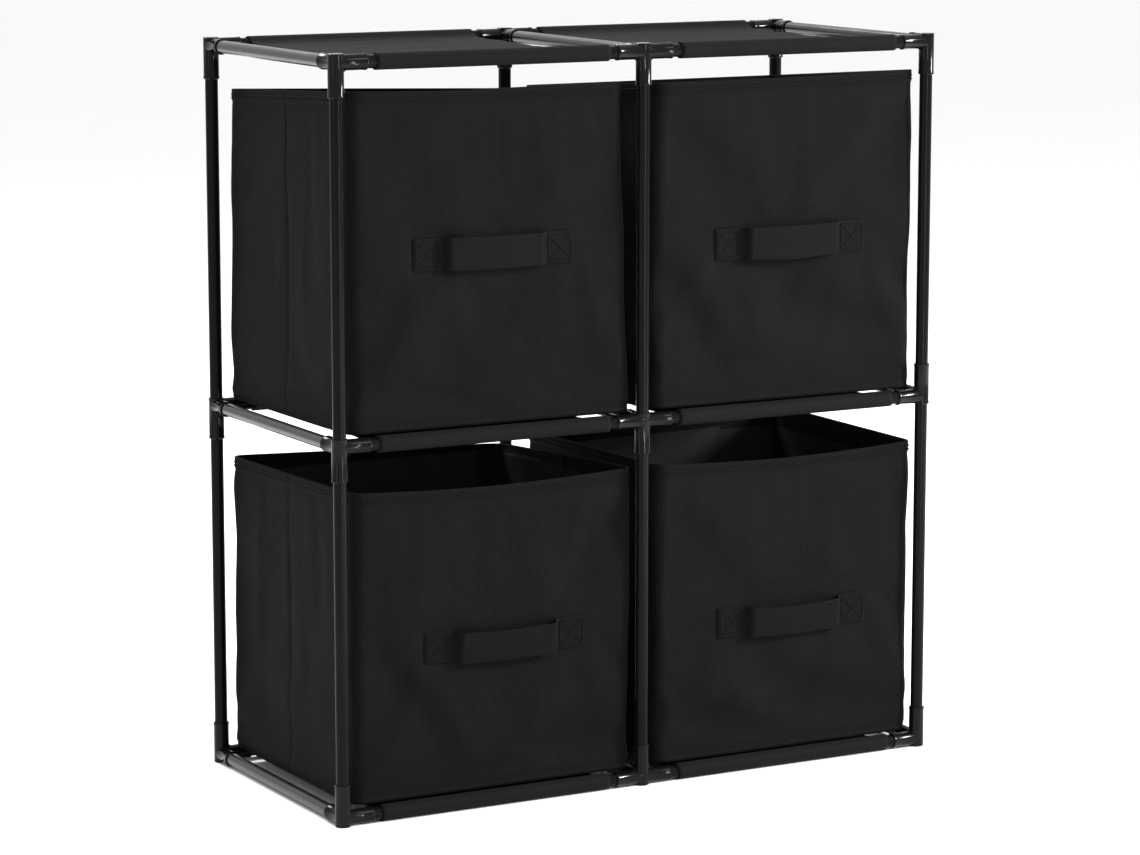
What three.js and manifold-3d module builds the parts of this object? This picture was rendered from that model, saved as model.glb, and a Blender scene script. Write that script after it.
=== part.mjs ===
// Cube storage unit: a knock-down steel tube frame of two bays by two levels, with cloth
// shelves sleeved over the rails and four open cloth boxes that pull out to the front.
// Millimetres, +Z up. The front faces -Y. The origin is on the floor, at the middle of the frame.

import * as THREE from 'three';
import { mergeVertices } from 'three/addons/utils/BufferGeometryUtils.js';
import Module from 'manifold-3d';

const wasm = await Module();
wasm.setup();

// Frame, measured between tube axes
const bayWidth = 317;
const frameDepth = 276;
const railHeights = { bottom: 8, middle: 354, top: 702 };

// Steel tubes
const tubeRadius = 6.2;
const tubeWall = 0.6;
const tubeSides = 12;
const railEndGap = 8; // from a post's axis to the end of a tube that meets it
const postEndGap = 8.3; // from a rail's axis to the end of a post

// Moulded connectors
const connectorRadius = 7.6;
const boreRadius = 6.5;
const socketLength = 40;
const socketCap = 8; // from the arms' axis to the socket's near end
const sideArm = 30;
const depthArm = 26;
const armBoreStart = 7.7;
const gussetSize = 4;
const gussetThickness = 2.4;
const gussetRoot = 5.3; // the web starts inside the arm and the socket

// Cloth shelves
const shelfWidth = 240;
const clothThickness = 1.6;
const sleeveInner = 6.6;
const sleeveOuter = 7.8;
const sleeveSides = 8;
const seamReach = 19; // from the rail's axis to the seam that closes the sleeve
const sleeveMouth = Math.PI * 0.3; // half the angle over which a sleeve runs out into the panel

// Cloth boxes
const boxWidth = 290;
const boxDepth = 262;
const boxHeights = { top: 307, bottom: 293 };
const boxWall = 2.6;
const boxCorner = 14;
const cornerSteps = 3;
const hemHeight = 12;
const hemStandoff = 0.7;
const boardThickness = 3;
const boardPlay = 1.2;
const restGap = 0.3;

// Strap handles
const strapLength = 165;
const strapHeight = 30;
const strapThickness = 1.5;
const patchLength = 29; // the flat, sewn end of a strap
const strapRamp = 20;
const strapBow = 8.6;
const strapSteps = 5;

// Where each box stands: the middle of its width, its front face and the rail that it rests on.
// Its strap is sewn on at handleX and handleZ.
const boxPlaces = {
  top_left: { x: -157.3, front: -133, rail: 'middle', handleX: -156, handleZ: 521 },
  top_right: { x: 159.5, front: -134, rail: 'middle', handleX: 162, handleZ: 514 },
  bottom_left: { x: -157, front: -133, rail: 'bottom', handleX: -148, handleZ: 157 },
  bottom_right: { x: 160, front: -134, rail: 'bottom', handleX: 166, handleZ: 148 },
};

const paint = new THREE.MeshStandardMaterial({ color: 0x1b1c1d, roughness: 0.38, metalness: 0.5 });
const moulding = new THREE.MeshStandardMaterial({ color: 0x0b0b0c, roughness: 0.22, metalness: 0 });
const shelfCloth = new THREE.MeshStandardMaterial({ color: 0x1d1d1f, roughness: 0.95, metalness: 0 });
const boxCloth = new THREE.MeshStandardMaterial({ color: 0x202022, roughness: 0.95, metalness: 0 });
const webbing = new THREE.MeshStandardMaterial({ color: 0x1a1a1c, roughness: 0.85, metalness: 0 });
const boardCover = new THREE.MeshStandardMaterial({ color: 0x242426, roughness: 0.95, metalness: 0 });

// Corner points closer than this are one point
const mergeDistance = 1e-4;

const unit = new THREE.Group();
const sideSigns = { left: -1, centre: 0, right: 1 };
const faceSigns = { front: -1, back: 1 };

function postPlace(face, side) {
  return { x: sideSigns[side] * bayWidth, y: faceSigns[face] * frameDepth / 2 };
}

function addMesh(name, geometry, material, x = 0, y = 0, z = 0) {
  const mesh = new THREE.Mesh(geometry, material);
  mesh.name = name;
  mesh.position.set(x, y, z);
  unit.add(mesh);
}

function toSolid(geometry) {
  const bare = geometry.clone();
  bare.deleteAttribute('normal');
  bare.deleteAttribute('uv');
  const merged = mergeVertices(bare, mergeDistance);
  const vertProperties = new Float32Array(merged.attributes.position.array);
  const triVerts = new Uint32Array(merged.index.array);
  return new wasm.Manifold(new wasm.Mesh({ numProp: 3, vertProperties, triVerts }));
}

function toGeometry(solid) {
  const mesh = solid.getMesh();
  const geometry = new THREE.BufferGeometry();
  geometry.setAttribute('position', new THREE.BufferAttribute(mesh.vertProperties, 3));
  geometry.setIndex(new THREE.BufferAttribute(mesh.triVerts, 1));
  return geometry;
}

// A cylinder from start to end along +Z, turned so that flats face the three axes
function rod(radius, start, end) {
  const geometry = new THREE.CylinderGeometry(radius, radius, end - start, tubeSides);
  geometry.rotateY(Math.PI / tubeSides);
  geometry.rotateX(Math.PI / 2);
  geometry.translate(0, 0, (start + end) / 2);
  return geometry;
}

function turned(geometry, direction) {
  const turn = new THREE.Quaternion();
  turn.setFromUnitVectors(new THREE.Vector3(0, 0, 1), direction);
  return geometry.clone().applyQuaternion(turn);
}

// A tube whose length runs along a direction, centred on the origin
function tubeGeometry(length, direction) {
  const outer = tubeRadius;
  const inner = tubeRadius - tubeWall;
  const half = length / 2;
  const profile = [
    new THREE.Vector2(inner, -half),
    new THREE.Vector2(outer, -half),
    new THREE.Vector2(outer, half),
    new THREE.Vector2(inner, half),
    new THREE.Vector2(inner, -half),
  ];
  const geometry = new THREE.LatheGeometry(profile, tubeSides);
  geometry.rotateY(Math.PI / tubeSides);
  geometry.rotateX(Math.PI / 2);
  return turned(geometry, direction);
}

// The small web in the corner between a socket and an arm
function gussetGeometry(direction, socketSide) {
  const reach = connectorRadius + gussetSize;
  const outline = new THREE.Shape();
  outline.moveTo(gussetRoot, gussetRoot * socketSide);
  outline.lineTo(reach, gussetRoot * socketSide);
  outline.lineTo(gussetRoot, reach * socketSide);
  outline.closePath();
  const settings = { depth: gussetThickness, bevelEnabled: false };
  const geometry = new THREE.ExtrudeGeometry(outline, settings);
  geometry.translate(0, 0, -gussetThickness / 2);
  geometry.rotateX(Math.PI / 2);
  geometry.rotateZ(Math.atan2(direction.y, direction.x));
  return geometry;
}

// A connector about the crossing of its arms. The socket runs down or up from there, and a
// middle connector is open at both ends so that the post runs through it.
function connectorGeometry(arms, socketSide, through) {
  const nearEnd = -socketSide * socketCap;
  const farEnd = socketSide * (socketLength - socketCap);
  const low = Math.min(nearEnd, farEnd);
  const high = Math.max(nearEnd, farEnd);
  let body = toSolid(rod(connectorRadius, low, high));
  for (const arm of arms) {
    body = body.add(toSolid(turned(rod(connectorRadius, 0, arm.length), arm.direction)));
    body = body.add(toSolid(gussetGeometry(arm.direction, socketSide)));
  }
  const boreStart = socketSide * armBoreStart;
  const mouth = farEnd + socketSide;
  const boreLow = through ? low - 1 : Math.min(boreStart, mouth);
  const boreHigh = through ? high + 1 : Math.max(boreStart, mouth);
  body = body.subtract(toSolid(rod(boreRadius, boreLow, boreHigh)));
  for (const arm of arms) {
    const start = arm.open ? -armBoreStart : armBoreStart;
    body = body.subtract(toSolid(turned(rod(boreRadius, start, arm.length + 1), arm.direction)));
  }
  return toGeometry(body);
}

function armsOf(face, side, railRunsThrough) {
  const arms = [{ direction: new THREE.Vector3(0, -faceSigns[face], 0), length: depthArm }];
  if (side !== 'right') {
    arms.push({ direction: new THREE.Vector3(1, 0, 0), length: sideArm, open: railRunsThrough });
  }
  if (side !== 'left') {
    arms.push({ direction: new THREE.Vector3(-1, 0, 0), length: sideArm, open: railRunsThrough });
  }
  return arms;
}

// These rails are one tube through the middle connector; the others are one tube per bay
function railRunsThrough(level, face) {
  return level === 'top' || (level === 'bottom' && face === 'back');
}

function addConnectors() {
  for (const level of Object.keys(railHeights)) {
    for (const face of Object.keys(faceSigns)) {
      for (const side of Object.keys(sideSigns)) {
        const place = postPlace(face, side);
        const turnedOver = level === 'middle' && face === 'front' && side === 'right';
        const socketSide = level === 'bottom' || turnedOver ? 1 : -1;
        const arms = armsOf(face, side, side === 'centre' && railRunsThrough(level, face));
        const geometry = connectorGeometry(arms, socketSide, level === 'middle');
        const height = railHeights[level];
        addMesh(`connector_${level}_${face}_${side}`, geometry, moulding, place.x, place.y, height);
      }
    }
  }
}

function addPosts() {
  const low = railHeights.bottom + postEndGap;
  const high = railHeights.top - postEndGap;
  const geometry = tubeGeometry(high - low, new THREE.Vector3(0, 0, 1));
  for (const face of Object.keys(faceSigns)) {
    for (const side of Object.keys(sideSigns)) {
      const place = postPlace(face, side);
      addMesh(`post_${face}_${side}`, geometry, paint, place.x, place.y, (low + high) / 2);
    }
  }
}

function addRails() {
  const along = new THREE.Vector3(1, 0, 0);
  const longRail = tubeGeometry(2 * bayWidth - 2 * railEndGap, along);
  const bayRail = tubeGeometry(bayWidth - 2 * railEndGap, along);
  for (const level of Object.keys(railHeights)) {
    for (const face of Object.keys(faceSigns)) {
      const y = postPlace(face, 'centre').y;
      const z = railHeights[level];
      if (railRunsThrough(level, face)) {
        addMesh(`rail_${level}_${face}`, longRail, paint, 0, y, z);
      } else {
        addMesh(`rail_${level}_${face}_left`, bayRail, paint, -bayWidth / 2, y, z);
        addMesh(`rail_${level}_${face}_right`, bayRail, paint, bayWidth / 2, y, z);
      }
    }
  }
}

function addDepthTubes() {
  const geometry = tubeGeometry(frameDepth - 2 * railEndGap, new THREE.Vector3(0, 1, 0));
  for (const level of Object.keys(railHeights)) {
    for (const side of Object.keys(sideSigns)) {
      const x = postPlace('front', side).x;
      addMesh(`depth_tube_${level}_${side}`, geometry, paint, x, 0, railHeights[level]);
    }
  }
}

// A shelf is one panel of cloth whose front and back edges are folded over into sleeves
function shelfGeometry() {
  const half = frameDepth / 2;
  const outline = new THREE.Shape();
  outline.absarc(-half, 0, sleeveOuter, sleeveMouth, 2 * Math.PI - sleeveMouth, false);
  outline.lineTo(-half + seamReach, -clothThickness / 2);
  outline.lineTo(half - seamReach, -clothThickness / 2);
  outline.absarc(half, 0, sleeveOuter, Math.PI + sleeveMouth, 3 * Math.PI - sleeveMouth, false);
  outline.lineTo(half - seamReach, clothThickness / 2);
  outline.lineTo(-half + seamReach, clothThickness / 2);
  outline.closePath();
  for (const centre of [-half, half]) {
    const bore = new THREE.Path();
    bore.absarc(centre, 0, sleeveInner, 0, 2 * Math.PI, true);
    outline.holes.push(bore);
  }
  const settings = { depth: shelfWidth, bevelEnabled: false, curveSegments: sleeveSides };
  const geometry = new THREE.ExtrudeGeometry(outline, settings);
  geometry.translate(0, 0, -shelfWidth / 2);
  geometry.rotateX(Math.PI / 2);
  geometry.rotateZ(Math.PI / 2);
  return geometry;
}

function addShelves() {
  const geometry = shelfGeometry();
  for (const level of Object.keys(railHeights)) {
    for (const side of ['left', 'right']) {
      const x = sideSigns[side] * bayWidth / 2;
      addMesh(`shelf_${level}_${side}`, geometry, shelfCloth, x, 0, railHeights[level]);
    }
  }
}

// A slab with rounded corners, standing on z = start
function roundedSlab(width, depth, corner, start, end) {
  const x = width / 2 - corner;
  const y = depth / 2 - corner;
  const outline = new THREE.Shape();
  outline.absarc(x, y, corner, 0, Math.PI / 2, false);
  outline.absarc(-x, y, corner, Math.PI / 2, Math.PI, false);
  outline.absarc(-x, -y, corner, Math.PI, 1.5 * Math.PI, false);
  outline.absarc(x, -y, corner, 1.5 * Math.PI, 2 * Math.PI, false);
  const settings = { depth: end - start, bevelEnabled: false, curveSegments: cornerSteps };
  const geometry = new THREE.ExtrudeGeometry(outline, settings);
  geometry.translate(0, 0, start);
  return geometry;
}

// A slab grown all round by a margin, or shrunk by a negative one
function boxSlab(margin, start, end) {
  const width = boxWidth + 2 * margin;
  const depth = boxDepth + 2 * margin;
  return toSolid(roundedSlab(width, depth, boxCorner + margin, start, end));
}

function shellGeometry(height) {
  const walls = boxSlab(0, 0, height);
  const hem = boxSlab(hemStandoff, height - hemHeight, height);
  const inside = boxSlab(-boxWall, boxWall, height + 1);
  return toGeometry(walls.add(hem).subtract(inside));
}

function boardGeometry() {
  const inset = 2 * (boxWall + boardPlay);
  const start = boxWall + restGap;
  const corner = boxCorner - boxWall;
  return roundedSlab(boxWidth - inset, boxDepth - inset, corner, start, start + boardThickness);
}

// How far the strap's middle layer stands off the wall at a distance from the strap's centre
function strapStandoff(distance) {
  const free = strapLength / 2 - patchLength;
  const rise = THREE.MathUtils.clamp((free - distance) / strapRamp, 0, 1);
  return strapBow * (1 - Math.cos(Math.PI * rise)) / 2;
}

function handleGeometry() {
  const free = strapLength / 2 - patchLength;
  const stations = [strapLength / 2];
  for (let step = 0; step <= strapSteps; step += 1) {
    stations.push(free - strapRamp * step / strapSteps);
  }
  const across = [...stations, ...stations.map((station) => -station).reverse()];
  const nearWall = across.map((x) => new THREE.Vector2(x, -strapStandoff(Math.abs(x))));
  const away = nearWall.map((point) => new THREE.Vector2(point.x, point.y - strapThickness));
  const outline = new THREE.Shape([...nearWall, ...away.reverse()]);
  const geometry = new THREE.ExtrudeGeometry(outline, { depth: strapHeight, bevelEnabled: false });
  geometry.translate(0, -restGap, -strapHeight / 2);
  return geometry;
}

function addBoxes() {
  const shells = { top: shellGeometry(boxHeights.top), bottom: shellGeometry(boxHeights.bottom) };
  const board = boardGeometry();
  const handle = handleGeometry();
  for (const [name, place] of Object.entries(boxPlaces)) {
    const y = place.front + boxDepth / 2;
    const z = railHeights[place.rail] + sleeveOuter + restGap;
    const row = name.split('_')[0];
    addMesh(`box_${name}_shell`, shells[row], boxCloth, place.x, y, z);
    addMesh(`box_${name}_base_board`, board, boardCover, place.x, y, z);
    addMesh(`box_${name}_handle`, handle, webbing, place.handleX, place.front, place.handleZ);
  }
}

addConnectors();
addPosts();
addRails();
addDepthTubes();
addShelves();
addBoxes();

export default unit;
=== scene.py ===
import math

import bmesh
import bpy
from mathutils import Matrix, Vector, noise


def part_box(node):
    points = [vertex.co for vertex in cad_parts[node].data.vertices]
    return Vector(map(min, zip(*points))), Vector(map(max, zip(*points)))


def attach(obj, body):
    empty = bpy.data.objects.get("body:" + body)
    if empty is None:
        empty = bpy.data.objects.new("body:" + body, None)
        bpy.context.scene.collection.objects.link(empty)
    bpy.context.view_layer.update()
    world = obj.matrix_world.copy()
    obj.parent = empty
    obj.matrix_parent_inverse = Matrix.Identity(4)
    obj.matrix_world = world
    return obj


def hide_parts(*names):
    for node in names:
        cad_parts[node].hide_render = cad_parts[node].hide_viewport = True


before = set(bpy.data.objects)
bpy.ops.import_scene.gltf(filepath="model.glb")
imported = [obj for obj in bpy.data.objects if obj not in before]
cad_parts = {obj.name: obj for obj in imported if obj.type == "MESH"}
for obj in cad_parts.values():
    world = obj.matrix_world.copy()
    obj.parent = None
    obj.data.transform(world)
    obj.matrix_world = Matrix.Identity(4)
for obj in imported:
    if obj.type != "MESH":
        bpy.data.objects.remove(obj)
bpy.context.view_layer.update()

levels = ["bottom", "middle", "top"]
faces = ["front", "back"]
sides = ["left", "centre", "right"]
bays = ["left", "right"]
boxNames = ["top_left", "top_right", "bottom_left", "bottom_right"]


def makeObject(bm, name):
    mesh = bpy.data.meshes.new(name)
    bm.to_mesh(mesh)
    bm.free()
    made = bpy.data.objects.new(name, mesh)
    bpy.context.scene.collection.objects.link(made)
    return made


def dress(piece, material, body, nodes=(), sharpAngle=35):
    piece.data.materials.clear()
    piece.data.materials.append(material)
    piece.data.polygons.foreach_set("use_smooth", [True] * len(piece.data.polygons))
    piece.data.set_sharp_from_angle(angle=math.radians(sharpAngle))
    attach(piece, body)
    if nodes:
        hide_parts(*nodes)
    return piece


def addThickness(piece, depth, offset):
    thickness = piece.modifiers.new("thickness", "SOLIDIFY")
    thickness.thickness = depth
    thickness.offset = offset
    return thickness


def bakeModifiers(piece):
    depsgraph = bpy.context.evaluated_depsgraph_get()
    baked = bpy.data.meshes.new_from_object(piece.evaluated_get(depsgraph))
    piece.modifiers.clear()
    piece.data = baked


def extrudeBy(bm, flat, move):
    grown = bmesh.ops.extrude_face_region(bm, geom=flat)["geom"]
    far = [part for part in grown if isinstance(part, bmesh.types.BMVert)]
    bmesh.ops.translate(bm, vec=move, verts=far)


def bevelEdges(bm, edges, width, segments):
    bmesh.ops.bevel(bm, geom=edges, offset=width, offset_type="OFFSET", segments=segments,
                    profile=0.5, affect="EDGES", material=-1)


# A block between two corners with its four standing edges rounded
def roundedBlock(low, high, corner, segments, openTop=False):
    size = high - low
    bm = bmesh.new()
    bmesh.ops.create_cube(bm, size=1, matrix=Matrix.LocRotScale((low + high) / 2, None, size))
    if openTop:
        lid = [face for face in bm.faces if face.normal.z > 0.5]
        bmesh.ops.delete(bm, geom=lid, context="FACES_ONLY")
    standing = [edge for edge in bm.edges if abs(edge.verts[0].co.z - edge.verts[1].co.z) > size.z / 2]
    bevelEdges(bm, standing, corner, segments)
    return bm


def placeAlong(bm, start, direction, turnBy=0):
    turn = direction.to_track_quat("Z", "Y").to_matrix().to_4x4()
    turn = turn @ Matrix.Rotation(math.radians(turnBy), 4, "Z")
    bmesh.ops.transform(bm, matrix=Matrix.Translation(start) @ turn, verts=bm.verts)
    bmesh.ops.recalc_face_normals(bm, faces=bm.faces)


def smoothStep(value):
    clamped = min(max(value, 0), 1)
    return clamped * clamped * (3 - 2 * clamped)


def softCap(value, cap):
    return cap * math.tanh(value / cap)


def between(low, high, count):
    return [low + (high - low) * step / count for step in range(count + 1)]


def slicePlanes(bm, axis, positions):
    normal = Vector((0, 0, 0))
    normal[axis] = 1
    for position in positions:
        everything = bm.verts[:] + bm.edges[:] + bm.faces[:]
        bmesh.ops.bisect_plane(bm, geom=everything, dist=1e-6, plane_co=normal * position, plane_no=normal)


# The cloth pattern runs on this map: across and up each wall, in metres
def addClothMap(mesh):
    layer = mesh.uv_layers.new(name="cloth")
    for polygon in mesh.polygons:
        normal = polygon.normal
        flat = abs(normal.z) > 0.7
        along = 1 if abs(normal.x) > abs(normal.y) else 0
        for corner in polygon.loop_indices:
            point = mesh.vertices[mesh.loops[corner].vertex_index].co
            layer.data[corner].uv = (point.x, point.y) if flat else (point[along], point.z)


def newMaterial(name):
    material = bpy.data.materials.new(name)
    material.use_nodes = True
    return material, material.node_tree, material.node_tree.nodes["Principled BSDF"]


def addNode(tree, kind, inputs, **settings):
    made = tree.nodes.new(kind)
    for key, value in settings.items():
        setattr(made, key, value)
    for key, value in inputs.items():
        if isinstance(value, bpy.types.NodeSocket):
            tree.links.new(value, made.inputs[key])
        else:
            made.inputs[key].default_value = value
    return made


def addNoise(tree, vector, scale, detail=4, roughness=0.55):
    return addNode(tree, "ShaderNodeTexNoise", {
        "Vector": vector, "Scale": scale, "Detail": detail, "Roughness": roughness,
    }).outputs["Fac"]


def addRange(tree, value, low, high):
    return addNode(tree, "ShaderNodeMapRange", {
        "Value": value, "From Min": 0.3, "From Max": 0.7, "To Min": low, "To Max": high,
    }).outputs["Result"]


def addBlend(tree, factor, dark, light):
    blend = addNode(tree, "ShaderNodeMix", {}, data_type="RGBA")
    tree.links.new(factor, blend.inputs[0])
    blend.inputs[6].default_value = dark
    blend.inputs[7].default_value = light
    return blend.outputs[2]


def grey(value):
    return (value, value, value * 1.03, 1)


# Colour and roughness that both follow one pattern
def addSurface(tree, shader, pattern, look):
    colour = addBlend(tree, pattern, grey(look["dark"]), grey(look["light"]))
    tree.links.new(colour, shader.inputs["Base Color"])
    tree.links.new(addRange(tree, pattern, look["smooth"], look["dull"]), shader.inputs["Roughness"])


def addBump(tree, shader, height, strength, depth):
    bump = addNode(tree, "ShaderNodeBump", {"Strength": strength, "Distance": depth, "Height": height})
    tree.links.new(bump.outputs["Normal"], shader.inputs["Normal"])


uprightPaintLook = {
    "dark": 0.0025, "light": 0.0045, "smooth": 0.16, "dull": 0.24, "cloud": 14,
    "peel": 900, "peelDepth": 0.00003, "peelStrength": 0.35, "gloss": 0.06,
}
# The depth tubes take the same paint as the uprights with a paler colour, which is painted reflection of the
# bright studio, and a higher gloss
depthPaintedReflectionLook = {
    "dark": 0.0045, "light": 0.0080, "smooth": 0.17, "dull": 0.27, "cloud": 14,
    "peel": 900, "peelDepth": 0.00003, "peelStrength": 0.35, "gloss": 0.5,
}


def tubePaintMaterial(name, look):
    material, tree, shader = newMaterial(name)
    place = addNode(tree, "ShaderNodeTexCoord", {}).outputs["Object"]
    cloud = addNoise(tree, place, look["cloud"])
    speckle = addNoise(tree, place, look["peel"], 2)
    addSurface(tree, shader, cloud, look)
    addBump(tree, shader, speckle, look["peelStrength"], look["peelDepth"])
    shader.inputs["Specular IOR Level"].default_value = look["gloss"]
    return material


connectorLook = {
    "dark": 0.0022, "light": 0.0040, "smooth": 0.09, "dull": 0.17, "scuffs": 420,
    "flow": 60, "flowDepth": 0.00008, "flowStrength": 0.3, "gloss": 0.12,
}


def connectorMaterial(look):
    material, tree, shader = newMaterial("connectorPlastic")
    place = addNode(tree, "ShaderNodeTexCoord", {}).outputs["Object"]
    flow = addNoise(tree, place, look["flow"], 3)
    scuffs = addNoise(tree, place, look["scuffs"], 5, 0.7)
    addSurface(tree, shader, scuffs, look)
    addBump(tree, shader, flow, look["flowStrength"], look["flowDepth"])
    shader.inputs["Specular IOR Level"].default_value = look["gloss"]
    return material


def addMath(tree, first, second, operation):
    return addNode(tree, "ShaderNodeMath", {0: first, 1: second}, operation=operation).outputs[0]


clothPattern = {
    "fibres": 2600, "clouds": 22, "cloudShare": 0.35, "darkest": 0.3, "palest": 1.65,
    "reliefDepth": 0.0003, "gloss": 0.03, "sheenDull": 0.6,
}


# Non-woven cloth: bonded dots in rows, loose fibres between them, and a faint cloudiness
def clothMaterial(name, look):
    material, tree, shader = newMaterial(name)
    flat = addNode(tree, "ShaderNodeTexCoord", {}).outputs["UV"]
    place = addNode(tree, "ShaderNodeTexCoord", {}).outputs["Object"]
    bandScale = math.tau / 20 / look["pitch"]        # gives one dot row per pitch
    rows = []
    for direction in ["X", "Y"]:
        rows.append(addNode(tree, "ShaderNodeTexWave", {
            "Vector": flat, "Scale": bandScale, "Distortion": look["drift"], "Detail": 2, "Detail Scale": 0.4,
        }, bands_direction=direction).outputs["Fac"])
    dots = addMath(tree, rows[0], rows[1], "MULTIPLY")
    fibres = addNoise(tree, flat, clothPattern["fibres"], 5, 0.7)
    clouds = addNoise(tree, place, clothPattern["clouds"], 3)
    surface = addMath(tree, dots, fibres, "ADD")
    mottle = addMath(tree, clouds, clothPattern["cloudShare"], "MULTIPLY")
    tone = addMath(tree, surface, mottle, "ADD")
    shade = addNode(tree, "ShaderNodeMapRange", {
        "Value": tone, "From Min": clothPattern["darkest"], "From Max": clothPattern["palest"],
    }).outputs["Result"]
    # Faces marked as inside a box get their colour multiplied up: painted light in the box interiors
    inside = addNode(tree, "ShaderNodeAttribute", {}, attribute_name="inside").outputs["Fac"]
    lift = addNode(tree, "ShaderNodeMapRange", {
        "Value": inside, "To Min": 1, "To Max": look["inside"],
    }).outputs["Result"]
    cloth = addBlend(tree, shade, grey(look["dark"]), grey(look["light"]))
    colour = addNode(tree, "ShaderNodeVectorMath", {0: cloth, 1: lift}, operation="MULTIPLY").outputs[0]
    tree.links.new(colour, shader.inputs["Base Color"])
    tree.links.new(addRange(tree, fibres, look["dull"], look["smooth"]), shader.inputs["Roughness"])
    addBump(tree, shader, surface, look["relief"], clothPattern["reliefDepth"])
    shader.inputs["Sheen Weight"].default_value = look["sheen"]
    shader.inputs["Sheen Roughness"].default_value = clothPattern["sheenDull"]
    shader.inputs["Specular IOR Level"].default_value = clothPattern["gloss"]
    return material


# The inside value is how many times the colour is lifted on faces inside a box: painted light
boxClothLook = {
    "pitch": 0.0021, "drift": 0.5, "dark": 0.0005, "light": 0.0067,
    "smooth": 0.55, "dull": 0.8, "relief": 0.9, "sheen": 0.01, "inside": 5,
}
shelfClothLook = {
    "pitch": 0.0018, "drift": 0.8, "dark": 0.0020, "light": 0.0095,
    "smooth": 0.55, "dull": 0.8, "relief": 0.7, "sheen": 0.01, "inside": 1,
}
strapClothLook = {
    "pitch": 0.0016, "drift": 0.3, "dark": 0.0007, "light": 0.0048,
    "smooth": 0.4, "dull": 0.6, "relief": 0.8, "sheen": 0.01, "inside": 1,
}
boardClothLook = {
    "pitch": 0.0021, "drift": 0.6, "dark": 0.0050, "light": 0.0120,
    "smooth": 0.85, "dull": 0.98, "relief": 0.4, "sheen": 0.01, "inside": 1,
}
threadLook = {
    "dark": 0.0006, "light": 0.002, "smooth": 0.45, "dull": 0.7,
    "twist": 1500, "twistDepth": 0.0001, "twistStrength": 0.5, "gloss": 0.1,
}


def threadMaterial(look):
    material, tree, shader = newMaterial("thread")
    place = addNode(tree, "ShaderNodeTexCoord", {}).outputs["Object"]
    twist = addNoise(tree, place, look["twist"], 3, 0.8)
    addSurface(tree, shader, twist, look)
    addBump(tree, shader, twist, look["twistStrength"], look["twistDepth"])
    shader.inputs["Specular IOR Level"].default_value = look["gloss"]
    return material


uprightPaint = tubePaintMaterial("uprightPaint", uprightPaintLook)
depthPaintedReflection = tubePaintMaterial("depthPaintedReflection", depthPaintedReflectionLook)
connectorPlastic = connectorMaterial(connectorLook)
boxCloth = clothMaterial("boxCloth", boxClothLook)
shelfCloth = clothMaterial("shelfCloth", shelfClothLook)
strapCloth = clothMaterial("strapCloth", strapClothLook)
boardCloth = clothMaterial("boardCloth", boardClothLook)
thread = threadMaterial(threadLook)
print("materials made")


tube = {"radius": 0.0062, "wall": 0.0006, "sides": 40, "joint": 0.0004}


def tubePiece(name, start, end, nodes, paint):
    bm = bmesh.new()
    bmesh.ops.create_circle(bm, segments=tube["sides"], radius=tube["radius"])
    bmesh.ops.create_circle(bm, segments=tube["sides"], radius=tube["radius"] - tube["wall"])
    rim = bmesh.ops.bridge_loops(bm, edges=bm.edges[:])["faces"]
    extrudeBy(bm, rim, (0, 0, (end - start).length))
    placeAlong(bm, start, end - start)
    return dress(makeObject(bm, name), paint, "frame", nodes)


def axisEnds(node, axis):
    low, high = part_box(node)
    start = (low + high) / 2
    end = start.copy()
    start[axis] = low[axis]
    end[axis] = high[axis]
    return start, end


def splitTube(names, node, axis, joint):
    start, end = axisEnds(node, axis)
    first, second = end.copy(), start.copy()
    first[axis] = joint - tube["joint"]
    second[axis] = joint + tube["joint"]
    tubePiece(names[0], start, first, [node], uprightPaint)
    tubePiece(names[1], second, end, [node], uprightPaint)


def socketMiddle(face, side):
    low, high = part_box(f"connector_middle_{face}_{side}")
    return (low.z + high.z) / 2


for face in faces:
    for side in sides:
        names = [f"tube_post_{face}_{side}_lower", f"tube_post_{face}_{side}_upper"]
        splitTube(names, f"post_{face}_{side}", 2, socketMiddle(face, side))

for level in levels:
    for side in sides:
        node = f"depth_tube_{level}_{side}"
        tubePiece(f"tube_depth_{level}_{side}", *axisEnds(node, 1), [node], depthPaintedReflection)
    for face in faces:
        whole = f"rail_{level}_{face}"
        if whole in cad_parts:
            splitTube([f"tube_{whole}_left", f"tube_{whole}_right"], whole, 0, 0)
        else:
            for bay in bays:
                half = f"{whole}_{bay}"
                tubePiece(f"tube_{half}", *axisEnds(half, 0), [half], uprightPaint)
print("tubes made")


connector = {
    "radius": 0.0074, "armRadius": 0.0072, "depthRadius": 0.0073, "bore": 0.0064, "boreStart": 0.0077,
    "lip": 0.0003, "lipLength": 0.0026, "edge": 0.0006, "sides": 48,
    "web": 0.0042, "webThick": 0.0022, "webRoot": 0.005,
}
# Degrees each arm's faces are turned about its own line, so that no two arms share a plane
armTurn = {"depth": 2.3, "across": 4.1, "bore": 1.7}


# A profile of (radius, distance along) pairs spun into a closed solid
def turnedSolid(profile, start, direction, turnBy=0):
    bm = bmesh.new()
    points = [bm.verts.new((radius, 0, along)) for radius, along in profile]
    lines = [bm.edges.new(pair) for pair in zip(points, points[1:])]
    bmesh.ops.spin(bm, geom=points + lines, cent=(0, 0, 0), axis=(0, 0, 1), dvec=(0, 0, 0),
                   angle=math.tau, steps=connector["sides"], use_merge=True)
    bmesh.ops.remove_doubles(bm, verts=bm.verts, dist=1e-6)
    placeAlong(bm, start, direction, turnBy)
    return makeObject(bm, "turned")


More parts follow.
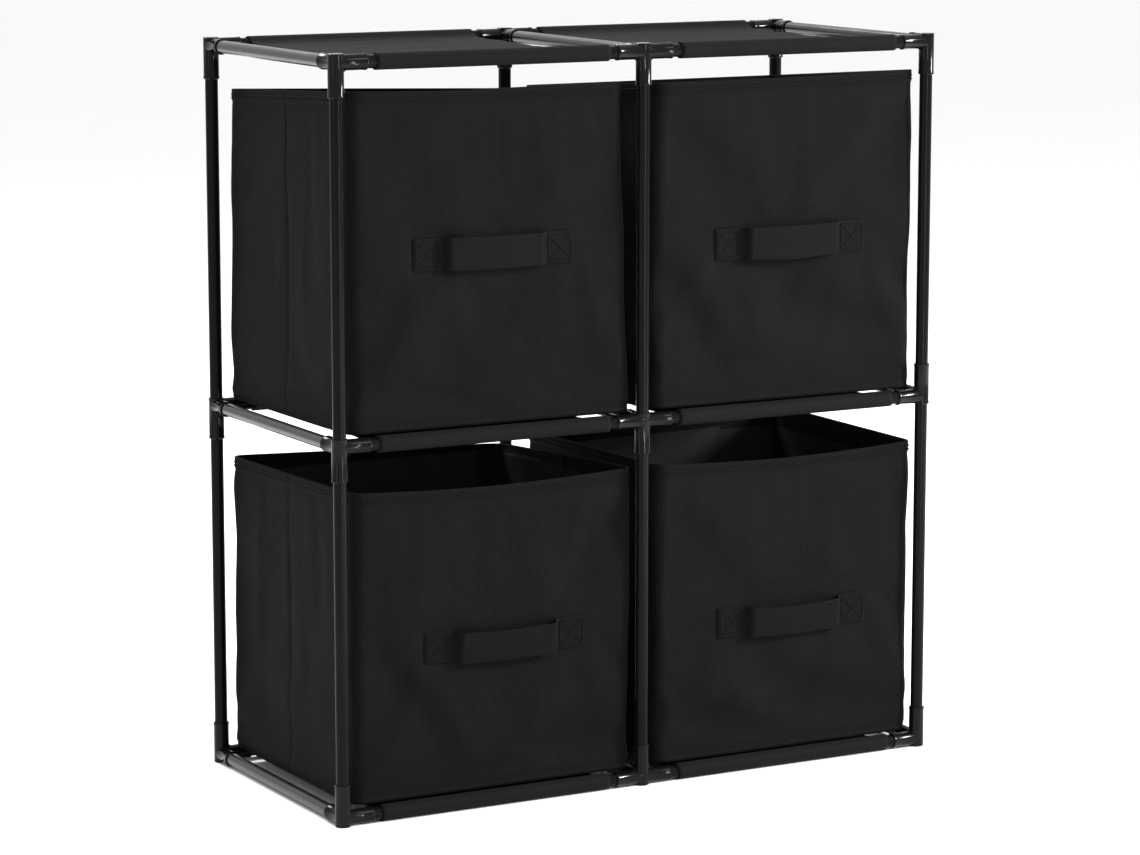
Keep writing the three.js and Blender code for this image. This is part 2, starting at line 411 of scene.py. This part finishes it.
# An arm or socket: a round bar with a raised, rounded lip at its mouth
def barrelProfile(radius, start, end, startOpen):
    lip, edge = connector["lip"], connector["edge"]
    outer, lipEnd = radius + lip, connector["lipLength"]
    profile = [(0, start)]
    if startOpen:
        profile += [(outer - edge, start), (outer, start + edge), (outer, start + lipEnd),
                    (radius, start + lipEnd + edge)]
    else:
        profile += [(radius - edge, start), (radius, start + edge)]
    profile += [(radius, end - lipEnd - edge), (outer, end - lipEnd),
                (outer, end - edge), (outer - edge, end), (0, end)]
    return profile


def boreProfile(start, end):
    radius = connector["bore"]
    return [(0, start), (radius, start), (radius, end), (0, end)]


# The web in the corner between an arm and the socket, standing in the plane of both
def webPiece(centre, direction, upright):
    root, reach = connector["webRoot"], connector["radius"] + connector["web"]
    bm = bmesh.new()
    across = direction.cross(upright) * connector["webThick"]
    corners = [direction * root + upright * root, direction * reach + upright * root,
               direction * root + upright * reach]
    flat = bm.faces.new([bm.verts.new(centre + corner - across / 2) for corner in corners])
    extrudeBy(bm, [flat], across)
    bmesh.ops.recalc_face_normals(bm, faces=bm.faces)
    return makeObject(bm, "web")


def joinSolids(base, others, operation):
    for other in others:
        join = base.modifiers.new("join", "BOOLEAN")
        join.object = other
        join.operation = operation
        join.solver = "MANIFOLD"
    bakeModifiers(base)
    for other in others:
        bpy.data.objects.remove(other)


def connectorPiece(level, face, side):
    node = f"connector_{level}_{face}_{side}"
    low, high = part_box(node)
    postLow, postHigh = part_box(f"post_{face}_{side}")
    tubeLow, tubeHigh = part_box(f"depth_tube_{level}_{side}")
    centre = (postLow + postHigh) / 2
    centre.z = (tubeLow.z + tubeHigh.z) / 2
    above, below = high.z - centre.z, centre.z - low.z
    right, left = high.x - centre.x, centre.x - low.x
    upright = Vector((0, 0, 1)) if above > below else Vector((0, 0, -1))
    nearEnd, farEnd = min(above, below), max(above, below)
    through = level == "middle"
    inward = Vector((0, 1 if face == "front" else -1, 0))
    arms = [(inward, high.y - centre.y if face == "front" else centre.y - low.y)]
    if side != "right":
        arms.append((Vector((1, 0, 0)), right))
    if side != "left":
        arms.append((Vector((-1, 0, 0)), left))
    across = arms[1][0]
    start, end = (-left, right) if side == "centre" else (0, arms[1][1])
    depthArm = barrelProfile(connector["depthRadius"], 0, arms[0][1], False)
    acrossArm = barrelProfile(connector["armRadius"], start, end, side == "centre")
    solids = [turnedSolid(depthArm, centre, inward, armTurn["depth"]),
              turnedSolid(acrossArm, centre, across, armTurn["across"])]
    solids += [webPiece(centre, direction, upright) for direction, _ in arms]
    body = turnedSolid(barrelProfile(connector["radius"], -nearEnd, farEnd, through), centre, upright)
    joinSolids(body, solids, "UNION")
    start = -nearEnd - connector["lip"] if through else connector["boreStart"]
    bores = [turnedSolid(boreProfile(start, farEnd + connector["lip"]), centre, upright)]
    for direction, length in arms:
        profile = boreProfile(connector["boreStart"], length + connector["lip"])
        bores.append(turnedSolid(profile, centre, direction, armTurn["bore"]))
    joinSolids(body, bores, "DIFFERENCE")
    body.name = f"{node}_moulding"
    return dress(body, connectorPlastic, "frame", [node], 30)


for level in levels:
    for face in faces:
        for side in sides:
            connectorPiece(level, face, side)
print("connectors made")


stitch = {"length": 0.0027, "gap": 0.0010, "thick": 0.00058, "taper": 0.7, "sides": 6}


def addStitches(bm, points, lift=Vector((0, 0, 0))):
    pitch = stitch["length"] + stitch["gap"]
    for start, end in zip(points, points[1:]):
        length = (end - start).length
        count = max(1, round(length / pitch))
        direction = (end - start).normalized()
        turn = direction.to_track_quat("Z", "Y").to_matrix().to_4x4()
        for number in range(count):
            middle = start.lerp(end, (number + 0.5) / count) + lift
            bmesh.ops.create_cone(
                bm, cap_ends=True, segments=stitch["sides"], radius1=stitch["thick"] * stitch["taper"],
                radius2=stitch["thick"], depth=min(stitch["length"], length),
                matrix=Matrix.Translation(middle) @ turn)


shelf = {
    "sleeve": 0.0073, "cloth": 0.0010, "seam": 0.016, "across": 64, "sleeveSteps": 14, "panelSteps": 40,
    "sag": 0.0035, "edgeIn": 0.0035, "scallop": 0.0016, "ripple": 0.0007,
    "seamIn": 0.002, "seamMargin": 0.004, "seamParts": 12, "seamLift": 0.6, "lap": 0.7,
}


# The shelf's cross-section: round the front rail, back along the panel and round the back rail
def shelfPath(front, back, height):
    radius = shelf["sleeve"]
    points = []
    opening = math.asin(0.5)        # the sleeve stays open where the panel leaves it
    for step in range(shelf["sleeveSteps"] + 1):
        angle = -opening - (math.tau - 2 * opening) * step / shelf["sleeveSteps"]
        points.append(Vector((0, front + radius * math.cos(angle), height + radius * math.sin(angle))))
    panelStart, panelEnd = front + shelf["seam"], back - shelf["seam"]
    first = Vector((0, panelStart, height - shelf["cloth"] * shelf["lap"]))
    middle = [Vector((0, y, height)) for y in between(panelStart, panelEnd, shelf["panelSteps"])]
    last = Vector((0, panelEnd, height - shelf["cloth"] * shelf["lap"]))
    mirrored = [Vector((0, front + back - point.y, point.z)) for point in reversed(points)]
    return [first] + points + middle + mirrored + [last]


# How far a point of the flat shelf moves: the sag, the ripples and the drawn-in side edges
def shelfOffset(point, low, high, seed):
    across = (point.x - low.x) / (high.x - low.x)
    along = (point.y - low.y) / (high.y - low.y)
    edge = abs(2 * across - 1)
    inPanel = smoothStep(min(along, 1 - along) * 9 - 0.7)
    bulge = math.sin(math.pi * min(max(along, 0), 1))
    sag = -shelf["sag"] * bulge * (0.35 + 0.65 * (1 - edge ** 2)) * inPanel
    wave = noise.noise(Vector((point.x * 6 + seed, point.y * 34, seed * 2.3)))
    fine = noise.noise(Vector((point.x * 30 + seed, point.y * 90, seed)))
    ripple = shelf["ripple"] * (1.6 * wave + 0.6 * fine) * inPanel
    pull = -shelf["edgeIn"] * smoothStep((edge - 0.55) / 0.45) * bulge * inPanel
    scallop = shelf["scallop"] * noise.noise(Vector((point.y * 70 + seed, point.z * 90, seed))) * edge ** 6
    sideways = (pull + scallop) * (1 if across > 0.5 else -1)
    return Vector((sideways, 0, sag + ripple))


def shelfPiece(level, bay, seed):
    node = f"shelf_{level}_{bay}"
    low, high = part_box(node)
    height = (low.z + high.z) / 2
    front, back = [sum(corner.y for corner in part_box(f"post_{face}_{bay}")) / 2 for face in faces]
    bm = bmesh.new()
    points = [bm.verts.new(point + Vector((low.x, 0, 0))) for point in shelfPath(front, back, height)]
    lines = [bm.edges.new(pair) for pair in zip(points, points[1:])]
    bmesh.ops.spin(bm, geom=points + lines, cent=(0, 0, 0), axis=(1, 0, 0), angle=0,
                   dvec=((high.x - low.x) / shelf["across"], 0, 0), steps=shelf["across"])
    for vert in bm.verts:
        vert.co += shelfOffset(vert.co, low, high, seed)
    bmesh.ops.recalc_face_normals(bm, faces=bm.faces)
    piece = makeObject(bm, f"{node}_cloth")
    addClothMap(piece.data)
    addThickness(piece, shelf["cloth"], 0)
    dress(piece, shelfCloth, "frame", [node], 60)
    seams = bmesh.new()
    fromRail, margin = shelf["seam"] - shelf["seamIn"], shelf["seamMargin"]
    for y in [front + fromRail, back - fromRail]:
        line = [Vector((x, y, height)) for x in between(low.x + margin, high.x - margin, shelf["seamParts"])]
        line = [point + shelfOffset(point, low, high, seed) for point in line]
        addStitches(seams, line, Vector((0, 0, shelf["cloth"] * shelf["seamLift"])))
    dress(makeObject(seams, f"{node}_seams"), thread, "frame")


shelfSeed = 7.31
for number, (level, bay) in enumerate([(level, bay) for level in levels for bay in bays], 1):
    shelfPiece(level, bay, number * shelfSeed)
print("shelves made")


# The box table also gives how far below the rim the painted light inside the box stops
box = {
    "corner": 0.013, "cornerSteps": 5, "wall": 0.0026, "hem": 0.0115, "hemOut": 0.0007, "step": 0.0085,
    "crease": 0.0011, "creaseWidth": 0.0022, "creaseShare": 0.6, "creaseStart": 0.004,
    "welt": 0.0012, "weltRise": 0.003, "weltWidth": 0.0013, "seamDip": 0.0003, "seamWidth": 0.001,
    "outCap": 0.0034, "inCap": 0.0012, "frontCap": 0.003, "foldDepth": 2.5, "insideTop": 0.02,
    "unevenness": 0.0028, "unevenScale": 16, "crumple": 0.0006, "crumpleScale": 52,
}
# Heights of the extra rows of faces, above the bottom and from the hem's lower and upper edges
boxRows = {
    "foot": [0.001, 0.002, 0.003, 0.0042, 0.006, 0.009], "wallStart": 0.012, "wallEnd": 0.006, "wallEnds": 0.03,
    "hem": [-0.0016, -0.0004, 0.0006, 0.003], "rim": [0.0055, 0.0025, 0.0008],
}
# Where the wall is held: how far from the hem, the bottom and the strap's sewn ends, and each fade
held = {
    "hem": 0.012, "foot": 0.026, "footFade": 0.014, "patch": 0.032, "patchReach": 0.026, "patchFade": 0.008,
}
settling = {
    "frames": 24, "swell": 0.004, "quality": 5, "mass": 0.2, "stretch": 40, "shear": 15, "bend": 0.4,
}

# How each box stands out of true, in millimetres: where its four top corners go, where its
# four foot corners go, how far its front rim sags, and the folds pressed in its front wall,
# each from one point to another (as shares of the wall) with a depth and a width
boxSet = {
    "top_left": {
        "top": {"frontLeft": (-1, 0, 6), "frontRight": (-5, 0, 5),
                "backLeft": (-2, 0, -8), "backRight": (-3, 0, -18)},
        "foot": {"frontLeft": (-1, 0, 0), "frontRight": (6, 0, 0),
                "backLeft": (-7, 0, 0), "backRight": (4, 0, 0)},
        "sag": 2, "seed": 3.1,
        "folds": [(0.03, 0.06, 0.60, 0.46, 3.4, 24), (0.45, 0.10, 0.96, 0.30, 1.2, 12),
                  (0.12, 0.72, 0.48, 0.96, 0.9, 14), (0.62, 0.52, 0.98, 0.78, 1.0, 12)],
    },
    "top_right": {
        "top": {"frontLeft": (2, 0, 3), "frontRight": (4, 0, 6),
                "backLeft": (0, 0, -16), "backRight": (3, 0, -16)},
        "foot": {"frontLeft": (0, 0, 0), "frontRight": (5, 0, 0),
                "backLeft": (0, 0, 0), "backRight": (3, 0, 0)},
        "sag": 1, "seed": 8.4,
        "folds": [(0.04, 0.52, 0.30, 0.10, 2.0, 12), (0.45, 0.38, 0.98, 0.20, 1.8, 16),
                  (0.62, 0.62, 0.98, 0.96, 2.0, 11), (0.04, 0.95, 0.45, 0.60, 1.4, 16)],
    },
    "bottom_left": {
        "top": {"frontLeft": (0, 0, 0), "frontRight": (5, 0, 0),
                "backLeft": (-5, 0, -3), "backRight": (2, 0, -15)},
        "foot": {"frontLeft": (-2, 0, 0), "frontRight": (6, 0, 0),
                "backLeft": (-8, 0, 0), "backRight": (3, 0, 0)},
        "sag": 5, "seed": 5.7,
        "folds": [(0.08, 0.58, 0.38, 0.10, 2.0, 11), (0.66, 0.60, 0.98, 0.97, 2.4, 10),
                  (0.55, 0.76, 0.97, 0.91, 1.6, 9), (0.45, 0.08, 0.96, 0.27, 1.6, 15)],
    },
    "bottom_right": {
        "top": {"frontLeft": (3, 0, 0), "frontRight": (6, 0, 0),
                "backLeft": (2, 0, -3), "backRight": (6, 0, 1)},
        "foot": {"frontLeft": (2, 0, 0), "frontRight": (7, 0, 0),
                "backLeft": (0, 0, 0), "backRight": (5, 0, 0)},
        "sag": 5, "seed": 12.9,
        "folds": [(0.03, 0.24, 0.50, 0.06, 2.2, 13), (0.28, 0.34, 0.94, 0.13, 1.8, 15),
                  (0.60, 0.76, 0.97, 0.95, 1.6, 11), (0.05, 0.92, 0.34, 0.58, 1.4, 14)],
    },
}


def measureBox(name):
    low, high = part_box(f"box_{name}_shell")
    margin = Vector((box["hemOut"], box["hemOut"], 0))
    return low + margin, high - margin


boxSpans = {name: measureBox(name) for name in boxNames}
strapSpans = {name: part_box(f"box_{name}_handle") for name in boxNames}
postSpans = {side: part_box(f"post_front_{side}") for side in sides}


# A corner offset blended over the box's plan
def spread(corners, across, along):
    front = Vector(corners["frontLeft"]).lerp(Vector(corners["frontRight"]), across)
    back = Vector(corners["backLeft"]).lerp(Vector(corners["backRight"]), across)
    return front.lerp(back, along)


def share(value, low, high):
    return min(max((value - low) / (high - low), 0), 1)


# A box stays in the lane between its posts, which narrows at the sockets and the rails' webs
lane = {
    "post": 0.0006, "socket": 0.0020, "socketHeight": 0.034, "socketFade": 0.003,
    "web": 0.0058, "webHeight": 0.0045, "webFade": 0.004, "soft": 0.0012,
}


def keptInLane(name, x, rise):
    left, right = ("left", "centre") if name.endswith("left") else ("centre", "right")
    atSocket = smoothStep((lane["socketHeight"] - rise) / lane["socketFade"] + 1)
    atWeb = smoothStep((lane["webHeight"] - rise) / lane["webFade"] + 1)
    spare = lane["post"] + (lane["socket"] - lane["post"]) * atSocket + (lane["web"] - lane["socket"]) * atWeb
    start = postSpans[left][1].x + spare + lane["soft"]
    end = postSpans[right][0].x - spare - lane["soft"]
    over = max(x - end, 0) - max(start - x, 0)
    return min(max(x, start), end) + softCap(over, lane["soft"])


# A point of the true box moved to where this box's lean and sag put it
def leaned(name, point):
    low, high = boxSpans[name]
    shape = boxSet[name]
    across = share(point.x, low.x, high.x)
    along = share(point.y, low.y, high.y)
    up = share(point.z, low.z, high.z)
    offset = spread(shape["foot"], across, along).lerp(spread(shape["top"], across, along), up)
    offset.z -= shape["sag"] * math.sin(math.pi * across) * (1 - along) * up ** 4
    return point + offset / 1000


def boxSkin(name):
    low, high = boxSpans[name]
    bm = roundedBlock(low, high, box["corner"], box["cornerSteps"], openTop=True)
    for axis in (0, 1):
        start, end = low[axis] + box["corner"], high[axis] - box["corner"]
        slicePlanes(bm, axis, between(start, end, round((end - start) / box["step"])))
    middle = (low.y + high.y) / 2
    slicePlanes(bm, 1, [middle - box["creaseWidth"], middle, middle + box["creaseWidth"]])
    hemLine = high.z - box["hem"]
    count = round((high.z - low.z - boxRows["wallEnds"]) / box["step"])
    slicePlanes(bm, 2, [low.z + row for row in boxRows["foot"]])
    slicePlanes(bm, 2, between(low.z + boxRows["wallStart"], hemLine - boxRows["wallEnd"], count))
    slicePlanes(bm, 2, [hemLine + row for row in boxRows["hem"]] + [high.z - row for row in boxRows["rim"]])
    bmesh.ops.recalc_face_normals(bm, faces=bm.faces)
    return bm


# 1 on the hem, the bottom and under the sewn ends of the strap, 0 on the open cloth
def heldFast(name, point):
    low, high = boxSpans[name]
    strapLow, strapHigh = strapSpans[name]
    top = smoothStep((point.z - high.z + box["hem"] + held["hem"]) / held["hem"])
    bottom = smoothStep((low.z + held["foot"] - point.z) / held["footFade"])
    half = held["patch"] / 2
    nearEnd = min(abs(point.x - strapLow.x - half), abs(point.x - strapHigh.x + half))
    nearRow = abs(point.z - (strapLow.z + strapHigh.z) / 2)
    onFront = point.y < low.y + box["corner"]
    sewn = smoothStep((held["patchReach"] - max(nearEnd, nearRow)) / held["patchFade"]) if onFront else 0
    return max(top, bottom, sewn)


# The level direction out of the nearest wall, nothing on the bottom
def wallNormal(name, point):
    low, high = boxSpans[name]
    inner = box["corner"]
    x = min(max(point.x, low.x + inner), high.x - inner)
    y = min(max(point.y, low.y + inner), high.y - inner)
    away = Vector((point.x - x, point.y - y, 0))
    return away.normalized() if away.length > 1e-7 else Vector((0, 0, 0))


# Lets the cloth swell and settle between its held places, and gives back its points
def clothSettled(piece, pins):
    group = piece.vertex_groups.new(name="held")
    for index, strength in enumerate(pins):
        group.add([index], strength, "REPLACE")
    settings = piece.modifiers.new("cloth", "CLOTH").settings
    settings.quality = settling["quality"]
    settings.mass = settling["mass"]
    settings.tension_stiffness = settling["stretch"]
    settings.compression_stiffness = settling["stretch"]
    settings.shear_stiffness = settling["shear"]
    settings.bending_stiffness = settling["bend"]
    settings.shrink_min = -settling["swell"]
    settings.shrink_max = -settling["swell"]
    settings.vertex_group_mass = "held"
    scene = bpy.context.scene
    for number in range(1, settling["frames"] + 1):
        scene.frame_set(number)
    depsgraph = bpy.context.evaluated_depsgraph_get()
    shaped = bpy.data.meshes.new_from_object(piece.evaluated_get(depsgraph))
    places = [vert.co.copy() for vert in shaped.vertices]
    piece.modifiers.clear()
    piece.vertex_groups.clear()
    bpy.data.meshes.remove(shaped)
    scene.frame_set(1)
    return places


def ridge(distance, width):
    return math.exp(-(distance / width) ** 2)


# The welt at the foot, the hem, the seam under it and the crease down each side
def rowRelief(name, point):
    low, high = boxSpans[name]
    up = point.z - low.z
    hemLine = high.z - box["hem"]
    relief = box["welt"] * ridge(up - box["weltRise"], box["weltWidth"])
    relief += box["hemOut"] * smoothStep((point.z - hemLine) / 0.0005 + 0.5)
    relief -= box["seamDip"] * ridge(point.z - hemLine + box["seamWidth"], box["seamWidth"])
    middle = (low.y + high.y) / 2
    onSide = abs(wallNormal(name, point).x) > 0.9
    if onSide and up > box["creaseStart"]:
        relief -= box["crease"] * ridge(point.y - middle, box["creaseWidth"] * box["creaseShare"])
    return relief


def foldRelief(name, point):
    low, high = boxSpans[name]
    size = high - low
    relief = 0
    for startX, startZ, endX, endZ, depth, width in boxSet[name]["folds"]:
        start = Vector((low.x + startX * size.x, low.z + startZ * size.z))
        run = Vector((low.x + endX * size.x, low.z + endZ * size.z)) - start
        away = Vector((point.x, point.z)) - start
        along = away.dot(run) / run.length_squared
        across = (run.x * away.y - run.y * away.x) / run.length * 1000
        if 0 < along < 1:
            bend = math.tanh(across / width) * ridge(across / width, 3)
            relief += box["foldDepth"] * depth / 1000 * bend * math.sin(math.pi * along)
    return relief


# 1 on the faces that look into the box, below a band at the rim: their colour is lifted as painted light,
# standing in for light that does not reach into the box
def markPaintedInsideLight(name, mesh):
    low, high = boxSpans[name]
    middle, rim = (low + high) / 2, high.z - box["insideTop"]
    inside = mesh.attributes.new("inside", "FLOAT", "FACE")
    for polygon in mesh.polygons:
        level = abs(polygon.normal.z) > 0.5
        facing = polygon.normal.z > 0.5 if level else polygon.normal.dot(middle - polygon.center) > 0
        inside.data[polygon.index].value = 1 if facing and polygon.center.z < rim else 0


def boxShell(name):
    foot = boxSpans[name][0].z
    seed = boxSet[name]["seed"]
    piece = makeObject(boxSkin(name), f"box_{name}_cloth")
    mesh = piece.data
    flat = [vert.co.copy() for vert in mesh.vertices]
    for vert, start in zip(mesh.vertices, flat):
        free = 1 - heldFast(name, start)
        push = noise.noise(start * box["unevenScale"] + Vector((seed, 0, 0))) * box["unevenness"]
        push += noise.noise(start * box["crumpleScale"] + Vector((0, seed, 0))) * box["crumple"]
        vert.co = leaned(name, start) + wallNormal(name, start) * push * free
    begun = [vert.co.copy() for vert in mesh.vertices]
    settled = begun
    settled = clothSettled(piece, [heldFast(name, start) for start in flat])
    for vert, start, first, last in zip(mesh.vertices, flat, begun, settled):
        outward = wallNormal(name, start)
        move = last - first
        out = move.dot(outward)
        onFront = outward.y < -0.7
        cap = box["frontCap"] if onFront else box["outCap"]
        kept = softCap(out, cap) if out > 0 else softCap(out, box["inCap"])
        slide = move - outward * out
        if slide.length > box["inCap"]:
            slide = slide.normalized() * box["inCap"]
        if onFront:
            kept += foldRelief(name, start) * (1 - heldFast(name, start))
        vert.co = first + outward * (kept + rowRelief(name, start)) + slide
        vert.co.x = keptInLane(name, vert.co.x, start.z - foot)
    mesh.update()
    addThickness(piece, box["wall"], -1).use_even_offset = True
    rounding = piece.modifiers.new("rounding", "SUBSURF")
    rounding.levels = 1
    rounding.render_levels = 1
    bakeModifiers(piece)
    addClothMap(piece.data)
    markPaintedInsideLight(name, piece.data)
    dress(piece, boxCloth, f"box_{name}", [f"box_{name}_shell"], 75)


board = {
    "round": 0.0012, "roundSteps": 3, "corner": 0.009, "cornerSteps": 5, "parts": 24,
    "warp": 0.0009, "warpScale": 9,
}


def baseBoard(name):
    node = f"box_{name}_base_board"
    low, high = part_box(node)
    bm = roundedBlock(low, high, board["corner"], board["cornerSteps"])
    rims = [edge for edge in bm.edges if len(edge.link_faces) == 2
            and abs(edge.link_faces[0].normal.z - edge.link_faces[1].normal.z) > 0.5]
    bevelEdges(bm, rims, board["round"], board["roundSteps"])
    for axis in (0, 1):
        slicePlanes(bm, axis, between(low[axis], high[axis], board["parts"])[1:-1])
    scale, upper = board["warpScale"], low.z + (high.z - low.z) * 0.6
    for vert in bm.verts:
        wave = noise.noise(Vector((vert.co.x * scale, vert.co.y * scale, boxSet[name]["seed"])))
        if vert.co.z > upper:
            vert.co.z += board["warp"] * wave - board["warp"] * 0.5
    bmesh.ops.recalc_face_normals(bm, faces=bm.faces)
    piece = makeObject(bm, f"{node}_covered")
    addClothMap(piece.data)
    dress(piece, boardCloth, f"box_{name}", [node])


strap = {
    "cloth": 0.0013, "seat": 0.75, "patch": 0.0285, "ramp": 0.0065, "stand": 0.0088, "bow": 0.12,
    "across": 66, "up": 8, "rounding": 0.0005, "roundSteps": 2, "sway": 0.5, "swayScale": 40,
}
# In millimetres: how far the loop drops, how much further its top and bottom edges bow in the
# middle, and how much its top leans out
strapSet = {
    "top_left": {"drop": 0, "top": 0.2, "bottom": 0.6, "tilt": -0.8},
    "top_right": {"drop": 0, "top": 0.6, "bottom": 2.4, "tilt": 0.6},
    "bottom_left": {"drop": 2.2, "top": 1.2, "bottom": 0.6, "tilt": 2.4},
    "bottom_right": {"drop": 1.6, "top": 2.6, "bottom": 0.4, "tilt": 1.8},
}


# A point of the strap at a place across the box and a share of the strap's height
def strapPoint(name, x, up):
    low, high = strapSpans[name]
    wall = boxSpans[name][0].y
    loop = strapSet[name]
    fromEnd = min(x - low.x, high.x - x)
    rise = smoothStep((fromEnd - strap["patch"]) / strap["ramp"])
    middle = smoothStep((fromEnd - strap["patch"]) / ((high.x - low.x) / 2 - strap["patch"]))
    bow = (loop["bottom"] + (loop["top"] - loop["bottom"]) * up) * middle
    droop = (bow + loop["drop"] * rise) / 1000
    tilt = loop["tilt"] * (up - 0.5) * rise / 1000
    wave = noise.noise(Vector((x * strap["swayScale"], up, boxSet[name]["seed"])))
    sway = strap["sway"] * wave * rise / 1000
    stand = strap["stand"] * rise * (1 - strap["bow"] + strap["bow"] * middle) + tilt + sway
    z = low.z + (high.z - low.z) * up - droop
    return leaned(name, Vector((x, wall - strap["cloth"] * strap["seat"] - stand, z)))


def strapHandle(name):
    node = f"box_{name}_handle"
    low, high = strapSpans[name]
    bm = bmesh.new()
    bmesh.ops.create_grid(bm, x_segments=strap["across"], y_segments=strap["up"], size=0.5)
    for vert in bm.verts:
        x = low.x + (vert.co.x + 0.5) * (high.x - low.x)
        vert.co = strapPoint(name, x, vert.co.y + 0.5)
    bmesh.ops.recalc_face_normals(bm, faces=bm.faces)
    piece = makeObject(bm, f"{node}_strap")
    addClothMap(piece.data)
    addThickness(piece, strap["cloth"], 0)
    edges = piece.modifiers.new("edges", "BEVEL")
    edges.width = strap["rounding"]
    edges.segments = strap["roundSteps"]
    edges.limit_method = "ANGLE"
    edges.angle_limit = math.radians(50)
    dress(piece, strapCloth, f"box_{name}", [node], 50)


sewing = {
    "hemDrops": [0.0055, 0.0090], "patchInset": 0.003, "stand": 0.0002,
    "cornerSteps": 5, "longRun": 0.05, "runParts": 12,
}


# The line of a hem seam right round the box, this far below the rim
def hemSeam(name, drop):
    low, high = boxSpans[name]
    inner, steps, parts = box["corner"], sewing["cornerSteps"], sewing["runParts"]
    reach = inner + box["hemOut"] + sewing["stand"]
    centres = [(high.x - inner, high.y - inner, 0), (low.x + inner, high.y - inner, 90),
               (low.x + inner, low.y + inner, 180), (high.x - inner, low.y + inner, 270)]
    points = []
    for x, y, turn in centres:
        for step in range(steps + 1):
            angle = math.radians(turn + 90 / steps * step)
            points.append(Vector((x + reach * math.cos(angle), y + reach * math.sin(angle), high.z - drop)))
    points.append(points[0])
    fine = []
    for start, end in zip(points, points[1:]):
        long = (end - start).length > sewing["longRun"]
        fine += [start.lerp(end, step / parts) for step in range(parts)] if long else [start]
    return [leaned(name, point) for point in fine + [points[0]]]


def boxSewing(name):
    bm = bmesh.new()
    for drop in sewing["hemDrops"]:
        addStitches(bm, hemSeam(name, drop))
    low, high = strapSpans[name]
    inset = sewing["patchInset"] / (high.z - low.z)
    lift = Vector((0, -strap["cloth"] / 2 - sewing["stand"], 0))
    for start, end in [(low.x, low.x + strap["patch"]), (high.x - strap["patch"], high.x)]:
        left, right = start + sewing["patchInset"], end - sewing["patchInset"] / 2
        bottom, top = inset, 1 - inset
        square = [(left, bottom), (right, bottom), (right, top), (left, top), (left, bottom)]
        for line in [square, [(left, bottom), (right, top)], [(left, top), (right, bottom)]]:
            addStitches(bm, [strapPoint(name, x, up) for x, up in line], lift)
    dress(makeObject(bm, f"box_{name}_stitching"), thread, f"box_{name}")


for name in boxNames:
    boxShell(name)
    baseBoard(name)
    strapHandle(name)
    boxSewing(name)
    print("box made:", name)


studio = {
    "floorRadius": 45, "floorTone": 0.95, "floorShade": 0.985, "floorPatches": 3, "floorDull": 0.75,
    "worldTone": 1.0, "worldStrength": 1.0,
    "aim": (-0.002, 0, 0.3275), "azimuth": -28.94, "elevation": 9.35, "distance": 3.731,
    "lens": 120.5, "sensor": 36,
}
lamps = {
    "overhead": {"place": (-0.1, -1.8, 2.4), "size": (1.3, 0.8), "power": 24},
    "frontRight": {"place": (2.4, -1.5, 1.4), "size": (0.35, 0.7), "power": 135},
    "frontStrip": {"place": (0.15, -1.5, 0.42), "size": (0.05, 0.8), "power": 7},
    "leftFill": {"place": (-2.4, -0.9, 0.6), "size": (0.10, 1.0), "power": 3},
    "behind": {"place": (-0.6, 2.0, 2.9), "size": (1.6, 1.0), "power": 120},
}


def addFloor():
    bm = bmesh.new()
    bmesh.ops.create_circle(bm, cap_ends=True, segments=96, radius=studio["floorRadius"])
    floor = makeObject(bm, "floor")
    material, tree, shader = newMaterial("paleFloor")
    place = addNode(tree, "ShaderNodeTexCoord", {}).outputs["Object"]
    patches = addNoise(tree, place, studio["floorPatches"], 2)
    tone = studio["floorTone"]
    shade = tone * studio["floorShade"]
    colour = addBlend(tree, patches, (shade, shade, shade, 1), (tone, tone, tone, 1))
    tree.links.new(colour, shader.inputs["Base Color"])
    shader.inputs["Roughness"].default_value = studio["floorDull"]
    floor.data.materials.append(material)


def addWorld():
    world = bpy.data.worlds.new("studio")
    bpy.context.scene.world = world
    world.use_nodes = True
    background = world.node_tree.nodes["Background"]
    tone = studio["worldTone"]
    background.inputs["Color"].default_value = (tone, tone, tone, 1)
    background.inputs["Strength"].default_value = studio["worldStrength"]


def addLamp(name, lamp):
    light = bpy.data.lights.new(name, "AREA")
    light.shape = "RECTANGLE"
    light.size, light.size_y = lamp["size"]
    light.energy = lamp["power"]
    made = bpy.data.objects.new(name, light)
    made.location = lamp["place"]
    made.visible_camera = False
    aim = Vector(studio["aim"]) - made.location
    made.rotation_euler = aim.to_track_quat("-Z", "Y").to_euler()
    bpy.context.scene.collection.objects.link(made)


def addCamera():
    data = bpy.data.cameras.new("camera")
    data.lens = studio["lens"]
    data.sensor_width = studio["sensor"]
    camera = bpy.data.objects.new("camera", data)
    turn, rise = math.radians(studio["azimuth"]), math.radians(studio["elevation"])
    back = Vector((math.sin(turn) * math.cos(rise), -math.cos(turn) * math.cos(rise), math.sin(rise)))
    camera.location = Vector(studio["aim"]) + back * studio["distance"]
    camera.rotation_euler = (-back).to_track_quat("-Z", "Y").to_euler()
    bpy.context.scene.collection.objects.link(camera)
    bpy.context.scene.camera = camera


addFloor()
addWorld()
for name, lamp in lamps.items():
    addLamp(name, lamp)
addCamera()
bpy.context.scene.view_settings.view_transform = "Standard"
print("studio made")
